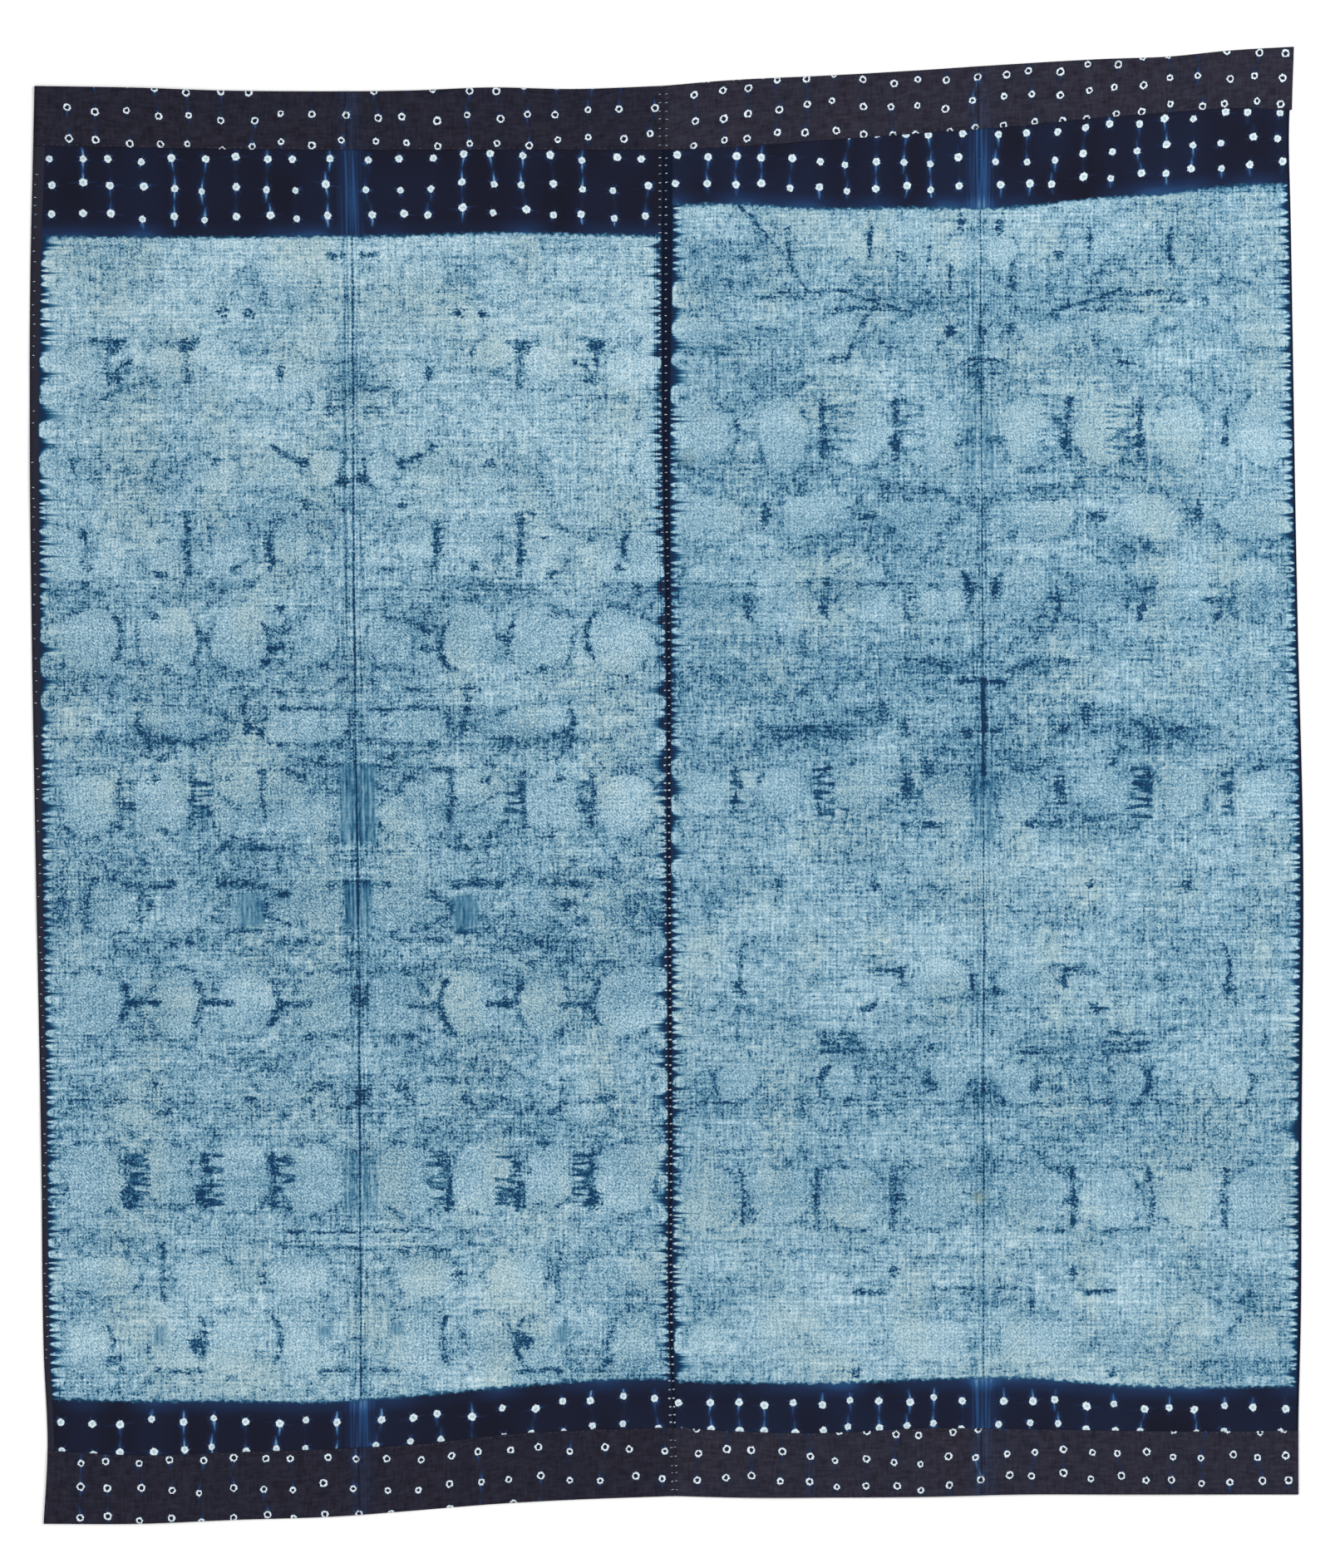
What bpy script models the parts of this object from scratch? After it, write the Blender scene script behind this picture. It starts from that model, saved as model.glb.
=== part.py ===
"""An adire wrapper cloth: two lengths of indigo-dyed cotton joined edge to edge down the middle.

Both ends of the cloth are turned over onto its face as wide hems. The cloth lies flat with its face
up: +Z points away from the surface below it, +Y towards the cloth's top end and +X to its right.
The origin lies on that surface, under the middle of the cloth.
"""

import math
from collections import namedtuple

import bmesh
import bpy
import numpy as np

MM = 0.001

# The sheet, in metres
CLOTH_THICKNESS = 1.2 * MM
LAYER_GAP = 0.3 * MM
SEAM_GAP = 0.3 * MM

# How finely each length of cloth is divided
COLUMNS = 16
BODY_ROWS = 24
FOLD_ROWS = 6
HEM_ROWS = 2

# The share of a length's width over which a hem's outer corner may run askew
SKEWED_SHARE = 0.25

# The long edges, in millimetres from the cloth's middle line. along is the share of the way from the
# bottom fold to the top one.
SideStation = namedtuple("SideStation", "along left_edge seam right_edge")
SIDES = (
    SideStation(0.00, -809, 11, 821),
    SideStation(0.05, -804, 8, 821),
    SideStation(0.12, -809, 4, 824),
    SideStation(0.25, -812, 3, 825),
    SideStation(0.45, -819, 1, 827),
    SideStation(0.60, -824, 0, 820),
    SideStation(0.75, -827, -5, 815),
    SideStation(0.88, -826, -6, 811),
    SideStation(0.95, -823, -6, 809),
    SideStation(1.00, -821, -6, 815),
)

# The ends of each length, in millimetres from the middle of the cloth. across is the share of the
# way from its left edge to its right one.
EndStation = namedtuple("EndStation", "across bottom_fold bottom_hem_edge top_hem_edge top_fold")
LEFT_ENDS = (
    EndStation(0.00, -959, -864, 830, 908),
    EndStation(0.15, -959, -870, 828, 906),
    EndStation(0.30, -954, -866, 826, 902),
    EndStation(0.45, -950, -862, 825, 901),
    EndStation(0.60, -941, -855, 825, 902),
    EndStation(0.72, -933, -844, 825, 906),
    EndStation(0.86, -927, -837, 825, 904),
    EndStation(1.00, -923, -834, 825, 908),
)
RIGHT_ENDS = (
    EndStation(0.00, -923, -834, 825, 908),
    EndStation(0.10, -925, -839, 828, 915),
    EndStation(0.25, -925, -841, 837, 921),
    EndStation(0.40, -924, -835, 846, 928),
    EndStation(0.55, -921, -836, 855, 936),
    EndStation(0.70, -921, -838, 867, 943),
    EndStation(0.80, -921, -839, 873, 946),
    EndStation(0.90, -921, -839, 879, 954),
    EndStation(1.00, -921, -838, 877, 959),
)

# Each length of cloth. hem_skew is how far its top hem's outer corner stands to the right of the
# body's edge beneath it, in millimetres.
Length = namedtuple("Length", "name start stop ends outer_across hem_skew colour")
LENGTHS = (
    Length("panel_left", "left_edge", "seam", LEFT_ENDS, 0, 2, (0.16, 0.33, 0.45)),
    Length("panel_right", "seam", "right_edge", RIGHT_ENDS, 1, 3, (0.18, 0.35, 0.47)),
)

ROUGHNESS = 0.92
METALLIC = 0.0

# Heights of the sheet's middle surface, and the radii of its turned ends
BODY_HEIGHT = CLOTH_THICKNESS / 2
HEM_HEIGHT = BODY_HEIGHT + CLOTH_THICKNESS + LAYER_GAP
FOLD_RADIUS = (HEM_HEIGHT - BODY_HEIGHT) / 2
FOLD_REACH = FOLD_RADIUS + CLOTH_THICKNESS / 2


def clear_scene():
    for old in list(bpy.data.objects):
        bpy.data.objects.remove(old, do_unlink=True)


def cloth_material(length):
    material = bpy.data.materials.new(f"indigo_cotton_{length.name}")
    material.use_nodes = True
    shader = material.node_tree.nodes["Principled BSDF"]
    shader.inputs["Base Color"].default_value = (*length.colour, 1.0)
    shader.inputs["Roughness"].default_value = ROUGHNESS
    shader.inputs["Metallic"].default_value = METALLIC
    return material


def read_curve(stations, column, share):
    """Read a smooth curve through one column of a table, in metres."""
    places = np.array([station[0] for station in stations])
    values = np.array([getattr(station, column) for station in stations]) * MM
    slopes = np.gradient(values, places)
    after = int(np.clip(np.searchsorted(places, share), 1, len(places) - 1))
    before = after - 1
    span = places[after] - places[before]
    t = (share - places[before]) / span
    start = values[before] * (1 + 2 * t) * (1 - t) ** 2 + slopes[before] * span * t * (1 - t) ** 2
    stop = values[after] * (3 - 2 * t) * t**2 - slopes[after] * span * (1 - t) * t**2
    return start + stop


def run_of_cloth(length, across):
    """List (y, z, hem share) down one lengthwise thread, from one hem's edge to the other's.

    The hem share is 0 on the body and at a fold, and grows to 1 at a hem's free edge.
    """
    ends = {column: read_curve(length.ends, column, across) for column in EndStation._fields[1:]}
    bottom_turn = ends["bottom_fold"] + FOLD_REACH
    top_turn = ends["top_fold"] - FOLD_REACH
    turn_middle = BODY_HEIGHT + FOLD_RADIUS
    run = []
    for row in range(HEM_ROWS):
        share = 1 - row / HEM_ROWS
        y = bottom_turn + share * (ends["bottom_hem_edge"] - bottom_turn)
        run.append((y, HEM_HEIGHT, share))
    for row in range(FOLD_ROWS):
        turned = math.pi * row / FOLD_ROWS
        y = bottom_turn - FOLD_RADIUS * math.sin(turned)
        run.append((y, turn_middle + FOLD_RADIUS * math.cos(turned), 0))
    for row in range(BODY_ROWS):
        y = bottom_turn + (top_turn - bottom_turn) * row / BODY_ROWS
        run.append((y, BODY_HEIGHT, 0))
    for row in range(FOLD_ROWS):
        turned = math.pi * row / FOLD_ROWS
        y = top_turn + FOLD_RADIUS * math.sin(turned)
        run.append((y, turn_middle - FOLD_RADIUS * math.cos(turned), 0))
    for row in range(HEM_ROWS + 1):
        share = row / HEM_ROWS
        y = top_turn + share * (ends["top_hem_edge"] - top_turn)
        run.append((y, HEM_HEIGHT, share))
    return run


def edge_at(column, length, across, y):
    """Find where a long edge lies at this height of the cloth, half the seam's gap clear of the seam."""
    bottom = read_curve(length.ends, "bottom_fold", across)
    top = read_curve(length.ends, "top_fold", across)
    x = read_curve(SIDES, column, (y - bottom) / (top - bottom))
    if column != "seam":
        return x
    return x - SEAM_GAP / 2 if column == length.stop else x + SEAM_GAP / 2


def place_on_cloth(length, across, y, hem_share):
    start = edge_at(length.start, length, across, y)
    stop = edge_at(length.stop, length, across, y)
    nearness = max(0, 1 - abs(across - length.outer_across) / SKEWED_SHARE)
    askew = length.hem_skew * MM * hem_share * nearness if y > 0 else 0
    return start + (stop - start) * across + askew


def sheet_mesh(length):
    """Lay a grid along the folded path of one length of cloth."""
    rows = 2 * HEM_ROWS + 2 * FOLD_ROWS + BODY_ROWS
    sheet = bmesh.new()
    bmesh.ops.create_grid(sheet, x_segments=COLUMNS, y_segments=rows, size=0.5)
    runs = [run_of_cloth(length, column / COLUMNS) for column in range(COLUMNS + 1)]
    for vertex in sheet.verts:
        column = round((vertex.co.x + 0.5) * COLUMNS)
        row = round((vertex.co.y + 0.5) * rows)
        y, z, hem_share = runs[column][row]
        vertex.co = (place_on_cloth(length, column / COLUMNS, y, hem_share), y, z)
    mesh = bpy.data.meshes.new(length.name)
    sheet.to_mesh(mesh)
    sheet.free()
    return mesh


def add_length(length, collection, cloth):
    mesh = sheet_mesh(length)
    mesh.materials.append(cloth_material(length))
    panel = bpy.data.objects.new(length.name, mesh)
    panel.parent = cloth
    collection.objects.link(panel)
    thickness = panel.modifiers.new("cloth thickness", "SOLIDIFY")
    thickness.thickness = CLOTH_THICKNESS
    thickness.offset = 0
    thickness.use_even_offset = True


def build_cloth():
    clear_scene()
    collection = bpy.data.collections.new("adire_wrapper_cloth")
    bpy.context.scene.collection.children.link(collection)
    cloth = bpy.data.objects.new("cloth", None)
    collection.objects.link(cloth)
    for length in LENGTHS:
        add_length(length, collection, cloth)


build_cloth()
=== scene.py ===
"""Dresses an adire wrapper cloth: its two dyed lengths, the sewing that joins them, floor, lights and camera.

The cloth lies flat on z = 0 with its face up, +Y towards its top end and +X to its right. Each length
has a pattern that mirrors about its own centre fold. Places on a length are therefore counted from
that fold, and the dye is a density from 0, undyed, to 1, almost black.
"""

import math
from collections import namedtuple
from functools import reduce

import bpy
import numpy as np
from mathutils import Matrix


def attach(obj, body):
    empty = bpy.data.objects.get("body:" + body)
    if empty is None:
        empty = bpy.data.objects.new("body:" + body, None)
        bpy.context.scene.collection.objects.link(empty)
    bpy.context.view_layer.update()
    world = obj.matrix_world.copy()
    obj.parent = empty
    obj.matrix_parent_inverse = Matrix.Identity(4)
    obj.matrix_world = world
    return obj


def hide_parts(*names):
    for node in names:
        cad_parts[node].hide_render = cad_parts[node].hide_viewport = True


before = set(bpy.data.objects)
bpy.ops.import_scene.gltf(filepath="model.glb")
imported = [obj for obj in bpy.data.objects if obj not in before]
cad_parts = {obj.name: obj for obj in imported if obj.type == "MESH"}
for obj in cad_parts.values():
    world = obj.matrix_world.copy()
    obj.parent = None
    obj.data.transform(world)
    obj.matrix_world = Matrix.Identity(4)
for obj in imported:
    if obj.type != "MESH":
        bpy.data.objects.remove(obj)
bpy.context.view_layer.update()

MM = 0.001

# The sheet as woven, and the heights of its middle surface in the body and in the turned hems
SHEET_THICKNESS = 0.5 * MM
LAYER_SPACING = 0.85 * MM
BODY_HEIGHT = 0.3 * MM
HEM_HEIGHT = BODY_HEIGHT + LAYER_SPACING
FOLD_RADIUS = LAYER_SPACING / 2
SEAM_GAP = 0.3 * MM

# The share of a length's width over which a hem's outer corner runs askew
SKEWED_SHARE = 0.25

# How finely each length is divided
COLUMNS = 138
BODY_ROWS = 312
FOLD_ROWS = 6
HEM_ROWS = 13

# Slight waves in the pressed sheet, by their lengths in metres and their height for each metre of that
WAVES = (0.42, 0.27, 0.17, 0.11, 0.07)
WAVE_HEIGHT = 0.0009

# The height and width of the ridges at a centre fold and at the seam, and where the seam's runs
FOLD_RIDGE = (0.4 * MM, 4 * MM)
SEAM_RIDGE = (0.5 * MM, 5 * MM)
SEAM_BOTTOM = -0.92
SEAM_LENGTH = 1.83

# From one stitch to the next, and how thick the thread is at the hems and the selvedge
SEAM_STITCH = 10.8 * MM
HEM_STITCH = 8.5 * MM
SELVEDGE_STITCH = 14 * MM
HEM_THREAD = 0.7 * MM
SELVEDGE_THREAD = 0.9 * MM

# How far to the left and right of the seam its stitches come up, how far inside its edge a hem is sewn,
# and the share of their spacing that its stitches cover
BESIDE_SEAM = (-2.6 * MM, 1.4 * MM)
HEM_INSET = 2.2 * MM
HEM_STITCH_SHARE = 0.44

# Where the selvedge's stitches begin and end, what share of them is left out, and about how far a stitch
# there or at the seam is from its centre fold
SELVEDGE_RUN = (-0.76, 0.80)
SELVEDGE_GAPS = 0.25
FOLD_TO_EDGE = 0.4

# The dye's own repeats and sizes: teeth at the edges, beads down the fold, spots on the face and rings
# on the reverse, and how far a tie strays from its lattice
FINE_TOOTH = 10.2 * MM
BROAD_TOOTH = 44 * MM
FOLD_BEAD = 6 * MM
SPOT_RADIUS = 4.1 * MM
RING_RADIUS = 3.6 * MM
TIE_LOOSENESS = 0.26

# Past the field by this much, a face of the sheet belongs to the dark end with its tied rings
END_START = 6 * MM

# How far the two ends of each kind of upright line bow away from the fold
BOWS = {"upright": 0, "arc": 8 * MM, "bracket": -7 * MM}

# The view: the photo's height in pixels, the real size of one, and where the view's middle lies
PHOTO_ROWS = 1886
PIXEL = 1.08 * MM
VIEW_MIDDLE = (-1.9 * MM, 1.6 * MM)
SENSOR_HEIGHT = 36
LENS = 120

# The studio
FLOOR_SIZE = 9
FLOOR_DEPTH = 0.2 * MM
WORLD_STRENGTH = 0.55


def rows_of(columns, *rows):
    """Give the rows of a table the names of its columns."""
    return tuple(columns(*row) for row in rows)


Light = namedtuple("Light", "name place size power")
LIGHTS = rows_of(Light, ("key", (2.8, 1.4, 3.4), 2.0, 112), ("fill", (-2.8, -1.8, 3.6), 2.6, 62))

# The seam's stitches, in millimetres up the cloth, and how thick their thread is
SeamRun = namedtuple("SeamRun", "part low high thread")
SEAM_RUNS = rows_of(
    SeamRun,
    ("bottom", -915, -840, 0.9),
    ("lower", -828, 60, 2.1),
    ("upper", 70, 818, 1.3),
    ("top", 832, 900, 0.9),
)

# The long edges and centre folds, in millimetres from the cloth's middle line, and the widths of the
# dark strips along the edges. along is the share of the way from the bottom fold to the top one.
SideStation = namedtuple(
    "SideStation",
    "along left_edge left_fold seam right_fold right_edge left_strip seam_strip right_strip",
)
SIDES = rows_of(
    SideStation,
    (0.00, -809, -396, 11, 412, 821, 8, 4, 3),
    (0.05, -804, -397, 8, 412, 821, 8, 4, 3),
    (0.12, -809, -397, 4, 412, 824, 7, 4, 3),
    (0.25, -812, -398, 3, 412, 825, 7, 4, 3),
    (0.45, -819, -401, 1, 412, 827, 8, 4, 3),
    (0.60, -824, -405, 0, 411, 820, 10, 5, 2),
    (0.75, -827, -407, -5, 409, 815, 11, 9, 2),
    (0.88, -826, -408, -6, 408, 811, 13, 13, 2),
    (0.95, -823, -411, -6, 408, 809, 15, 14, 3),
    (1.00, -821, -414, -6, 408, 815, 16, 14, 3),
)

# The ends of each length, in millimetres from the middle of the cloth. across is the share of the way
# from its left edge to its right one. The pale field ends at the two field columns. The tie columns
# give how far inside each fold the hem's first row of tied rings lies.
EndStation = namedtuple(
    "EndStation",
    "across bottom_fold bottom_hem_edge bottom_field top_field top_hem_edge top_fold bottom_tie top_tie",
)
LEFT_ENDS = rows_of(
    EndStation,
    (0.00, -959, -864, -798, 713, 830, 908, 7, 22),
    (0.15, -959, -870, -801, 713, 828, 906, 6, 32),
    (0.30, -954, -866, -801, 713, 826, 902, 3, 39),
    (0.45, -950, -862, -802, 714, 825, 901, 3, 29),
    (0.60, -941, -855, -793, 715, 825, 902, -8, 34),
    (0.72, -933, -844, -784, 718, 825, 906, -4, 38),
    (0.86, -927, -837, -775, 717, 825, 904, -9, 31),
    (1.00, -923, -834, -771, 714, 825, 908, -13, 25),
)
RIGHT_ENDS = rows_of(
    EndStation,
    (0.00, -923, -834, -775, 754, 825, 908, 18, 19),
    (0.10, -925, -839, -777, 756, 828, 915, 25, 11),
    (0.25, -925, -841, -778, 750, 837, 921, 18, 2),
    (0.40, -924, -835, -773, 751, 846, 928, 12, 15),
    (0.55, -921, -836, -771, 751, 855, 936, 23, 10),
    (0.70, -921, -838, -780, 764, 867, 943, 22, 7),
    (0.80, -921, -839, -783, 769, 873, 946, 18, -3),
    (0.90, -921, -839, -783, 779, 879, 954, 16, 1),
    (1.00, -921, -838, -781, 782, 877, 959, 14, 4),
)

# The stitched pattern, in millimetres: each mark's height up the cloth, its places on both sides of the
# centre fold, and its own width and height. A lobe or a block stayed pale. An upright, a level, an arc or
# a bracket is a dark line, a blot a dark patch with a ragged edge, a dusk a faint soft one, a band an even
# one, and ticks a stack of short dashes. Rows give Mark's columns from y on, without a full strength.
Mark = namedtuple("Mark", "kind y places width height strength", defaults=(1.0,))
LEFT_MARKS = {
    "lobe": (
        (655, (92, 186), 64, 66, 0.5), (560, (180, 392), 50, 50, 0.9), (546, (247, 352), 48, 58, 0.8),
        (540, 40, 30, 26, 0.8), (530, 70, 50, 46, 0.8), (421, 53, 12, 11), (410, 31, 54, 54, 0.9),
        (408, (105, 176), 56, 52, 0.7), (412, 388, 50, 46, 0.9), (318, 78, 50, 60, 0.8),
        (312, (160, 254), 56, 64, 0.8), (300, 386, 70, 80), (298, 316, 42, 60, 0.6),
        (189, (146, 244, 345), 80, 90), (186, 48, 58, 64, 0.8), (140, 39, 36, 32, 0.8),
        (80, 226, 108, 52, 0.8), (78, 78, 96, 50), (78, 22, 32, 36, 0.9),
        (-25, (158, 258, 352), 74, 88, 0.9), (-38, 58, 54, 46, 0.9), (-145, 50, 74, 60),
        (-160, 92, 62, 34), (-178, 46, 50, 30, 0.9), (-156, (226, 322), 50, 80, 0.8),
        (-284, (42, 143, 240, 346), 72, 88), (-396, (294, 200), 44, 30, 0.9), (-399, 46, 20, 18),
        (-404, 108, 62, 38, 0.8), (-408, 20, 20, 20), (-426, 300, 64, 28, 0.9),
        (-510, (64, 156, 346), 80, 94), (-508, 246, 58, 90), (-637, (82, 200, 332), 96, 54, 0.9),
        (-725, (70, 166, 246, 356), 60, 86, 0.8), (-728, 6, 26, 26, 0.9),
    ),
    "block": ((-22, 90, 54, 84, 0.8),),
    "upright": (
        (546, (217, 316), 8, 52, 0.8), (312, 106, 6, 62, 0.9), (312, 215, 8, 78), (110, 146, 9, 30),
        (-14, 121, 5, 66), (-18, (216, 305), 5, 74), (-166, 284, 5, 40, 0.8), (-398, 264, 5, 30, 0.9),
        (-515, (112, 206, 302), 10, 70), (-634, 258, 6, 76, 0.8),
    ),
    "arc": (
        (500, 54, 4, 30, 0.6), (312, 348, 5, 46, 0.9), (190, 302, 7, 54), (186, 201, 5, 56, 0.9),
        (181, 112, 7, 56), (-282, (106, 204, 303), 8, 52), (-406, 5, 5, 28, 0.9),
        (-720, (103, 204), 6, 60, 0.95), (-726, 322, 5, 46, 0.8),
    ),
    "bracket": ((80, 284, 5, 44, 0.8),),
    "level": (
        (687, 20, 20, 8, 0.9), (577, (222, 316), 42, 5, 0.8), (514, 22, 20, 4.5, 0.9),
        (491, 22, 20, 4, 0.8), (479, 24, 18, 4, 0.8), (353, 222, 26, 5, 0.8), (178, 96, 22, 8),
        (124, (85, 143), 40, 5, 0.7), (101, 58, 84, 5, 0.7), (58, (262, 182), 28, 7, 0.7),
        (53, 78, 116, 5, 0.7), (27, 26, 50, 6, 0.8), (20, 105, 44, 5, 0.7), (-80, 146, 60, 6, 0.9),
        (-128, 18, 38, 9), (-129, (152, 270), 60, 11, 0.9), (-190, 152, 46, 6, 0.9),
        (-203, 85, 66, 8, 0.8), (-284, (83, 185, 281), 36, 9), (-580, 30, 130, 5, 0.7),
        (-602, 40, 150, 5, 0.6), (-760, (235, 26), 56, 5, 0.8),
    ),
    "blot": (
        (613, (135, 171), 16, 13, 0.9), (570, (217, 314), 24, 18, 0.9), (536, 97, 12, 16, 0.9),
        (528, 308, 18, 14, 0.9), (505, 321, 12, 10, 0.9), (420, 64, 14, 13), (419, 176, 16, 12, 0.9),
        (398, 15, 16, 18, 0.9), (366, 62, 12, 16, 0.8), (318, 248, 11, 9, 0.8), (310, 110, 14, 30, 0.9),
        (284, (155, 345), 13, 11, 0.8), (273, 255, 18, 13, 0.8), (230, 98, 11, 13, 0.8),
        (220, 260, 14, 11, 0.8), (202, 93, 20, 14, 0.7), (192, 190, 14, 12), (150, 246, 16, 12, 0.9),
        (72, 137, 14, 18, 0.9), (35, (43, 254), 18, 9, 0.9), (8, (72, 170, 264), 16, 11, 0.8),
        (-28, 298, 18, 17), (-60, 254, 16, 11, 0.8), (-155, 270, 14, 17), (-325, 64, 15, 11, 0.9),
        (-394, 52, 26, 10, 0.9), (-408, (66, 143), 14, 13, 0.9), (-409, 318, 26, 9, 0.9),
        (-424, 250, 28, 12, 0.7), (-536, (206, 302), 17, 30, 0.9), (-638, 125, 14, 13, 0.9),
        (-724, 213, 24, 19), (-745, 320, 15, 13, 0.9),
    ),
    "ticks": (
        (-20, 203, 28, 54), (-20, 297, 18, 56, 0.7), (-514, (96, 190, 286), 26, 72, 0.9),
    ),
    "band": (
        (-25, 11, 22, 98, 0.9), (-156, 9, 18, 54, 0.9), (-165, 142, 32, 42, 0.9),
        (-515, 11, 22, 78, 0.5), (-708, 46, 15, 15, 0.9), (-712, 262, 15, 24, 0.9),
    ),
    "dusk": (
        (668, 262, 24, 26, 0.7), (658, 135, 26, 52), (632, 290, 140, 34, 0.8), (330, 35, 56, 40, 0.8),
        (290, 277, 32, 52), (205, 85, 46, 34), (158, 272, 54, 40), (62, 230, 160, 40, 0.7),
        (-206, 230, 150, 26, 0.8), (-238, 110, 150, 20, 0.8), (-325, (160, 270), 80, 20, 0.7),
        (-592, 330, 140, 40, 0.7),
    ),
}
RIGHT_MARKS = {
    "lobe": (
        (698, (158, 262), 36, 44, 0.8), (690, 28, 44, 44, 0.9), (592, 19, 26, 26, 0.9),
        (590, (368, 80, 190), 76, 48, 0.6), (458, (64, 158, 257, 366), 70, 98, 0.9),
        (350, (78, 222, 362), 98, 60, 0.9), (250, (54, 153, 259, 358), 72, 80, 0.8),
        (-9, (48, 158, 262, 368), 68, 64, 0.85), (-250, 58, 82, 52, 0.9), (-387, (46, 189, 325), 56, 54),
        (-536, (66, 166, 265, 360), 80, 84, 0.9), (-635, 0, 44, 28, 0.9), (-722, 68, 100, 56),
        (-722, (178, 270, 356), 70, 60, 0.5),
    ),
    "block": ((-92, 9, 20, 36),),
    "upright": (
        (704, (143, 248), 5, 42), (662, 40, 5, 34, 0.8), (462, (112, 207), 8, 76),
        (463, 318, 6, 44, 0.9), (-9, (214, 324), 5, 60, 0.8), (-250, 105, 8, 22, 0.9),
        (-262, 15, 5, 24, 0.8), (-536, (116, 215), 8, 76), (-536, 313, 5, 76), (-667, 62, 5, 32, 0.8),
    ),
    "bracket": (
        (240, (101, 208, 309), 5, 52), (-238, 318, 6, 66, 0.9), (-386, 214, 12, 34),
        (-386, 348, 5, 34, 0.9),
    ),
    "level": (
        (640, 222, 80, 4, 0.9), (632, 262, 60, 4, 0.7), (618, 160, 60, 4, 0.7), (398, 160, 60, 5, 0.7),
        (386, 96, 70, 5, 0.7), (373, 45, 110, 3, 0.7), (242, (92, 198, 299), 22, 6, 0.8),
        (135, 15, 34, 7), (74, 245, 100, 4, 0.5), (62, 224, 110, 4, 0.5), (-50, 80, 46, 9, 0.9),
        (-243, 130, 38, 7), (-325, 185, 46, 6, 0.9), (-335, 185, 54, 6, 0.9),
        (-345, (184, 66), 60, 5, 0.6), (-408, 225, 200, 4, 0.5), (-497, (96, 196), 30, 5, 0.5),
        (-578, (84, 182), 46, 5, 0.5), (-652, 40, 44, 5, 0.8), (-657, 150, 38, 6),
    ),
    "blot": (
        (728, 24, 11, 20, 0.9), (690, 103, 13, 13), (593, 40, 14, 17), (551, (186, 12), 24, 9, 0.8),
        (444, (110, 206), 16, 24, 0.9), (447, 21, 18, 12), (354, 281, 13, 30, 0.9),
        (350, 149, 30, 16, 0.6), (258, 17, 13, 28, 0.9), (230, 206, 14, 14, 0.9), (95, 132, 14, 30),
        (72, 102, 13, 18, 0.9), (68, 18, 20, 13, 0.8), (30, (170, 75), 11, 9, 0.9), (-4, 98, 16, 38),
        (-130, (139, 266), 13, 13, 0.9), (-263, 319, 15, 16), (-288, 148, 16, 10, 0.9),
        (-392, 66, 14, 20, 0.9), (-537, 116, 16, 13, 0.9), (-630, 116, 13, 15, 0.9), (-764, 167, 13, 11),
    ),
    "ticks": (
        (464, (94, 182), 40, 72, 0.6), (-8, 207, 28, 72), (-10, 318, 18, 60, 0.8),
    ),
    "band": (
        (453, 11, 22, 86, 0.35), (-16, 6, 12, 108, 0.5),
    ),
    "dusk": (
        (650, 330, 120, 30, 0.7), (386, 90, 240, 36, 0.6), (306, 150, 260, 28, 0.6),
        (156, 76, 130, 30, 0.6), (71, 235, 170, 44, 0.8), (-128, 265, 30, 44), (-340, 120, 240, 30, 0.6),
        (-398, 8, 60, 50, 0.8), (-490, 12, 36, 50, 0.8), (-667, (345, 10), 60, 36, 0.8),
    ),
}

# Sloping dark lines in the dye, from one end to the other in millimetres. A stroke lies on both sides of
# the centre fold, and a lone stroke only to the left of it.
Stroke = namedtuple("Stroke", "x0 y0 x1 y1 width strength")
LEFT_STROKES = rows_of(
    Stroke,
    (60, 416, 106, 439, 6, 0.9), (284, 84, 262, 36, 5, 0.8), (120, 64, 142, 84, 5, 0.8),
    (128, -163, 92, -138, 4, 0.8), (128, -163, 88, -184, 4, 0.8), (188, -6, 150, -34, 4, 0.6),
    (306, 540, 288, 552, 5, 0.8), (12, 424, 22, 392, 5, 0.8), (10, -415, 395, -411, 1.4, 0.4),
    (10, 256, 395, 262, 1.2, 0.3), (12, 54, 395, 58, 1.6, 0.4),
)
RIGHT_STROKES = rows_of(
    Stroke,
    (90, 612, 180, 644, 4, 0.9), (0, 372, 180, 404, 4, 0.4), (110, 166, 30, 150, 5, 0.5),
    (24, 276, 13, 240, 6, 0.9), (140, -284, 160, -292, 5, 0.9), (6, -415, 400, -411, 1.4, 0.4),
    (6, 257, 400, 262, 1.2, 0.35),
)
RIGHT_LONE_STROKES = rows_of(
    Stroke,
    (374, 810, 281, 720, 1.9, 1.0), (281, 720, 222, 640, 1.9, 1.0), (130, 636, 150, 606, 2.2, 1.0),
    (150, 606, 176, 552, 2.2, 1.0), (64, 702, 76, 652, 2.0, 1.0), (250, 262, 60, 259, 2.0, 1.0),
)

# Depth of dye across the whole width, in millimetres up the cloth
Tone = namedtuple("Tone", "y left right")
TONES = rows_of(
    Tone,
    (-800, -0.02, -0.02), (-640, -0.04, -0.04), (-585, 0.00, -0.02), (-520, 0.02, 0.04),
    (-460, 0.03, 0.01), (-400, -0.02, 0.01), (-230, 0.05, -0.02), (-110, 0.03, -0.03), (20, 0.01, 0.05),
    (180, 0.04, 0.05), (300, -0.03, 0.01), (420, -0.01, 0.03), (500, -0.04, 0.00), (620, -0.10, 0.00),
    (740, -0.10, -0.05),
)

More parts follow.
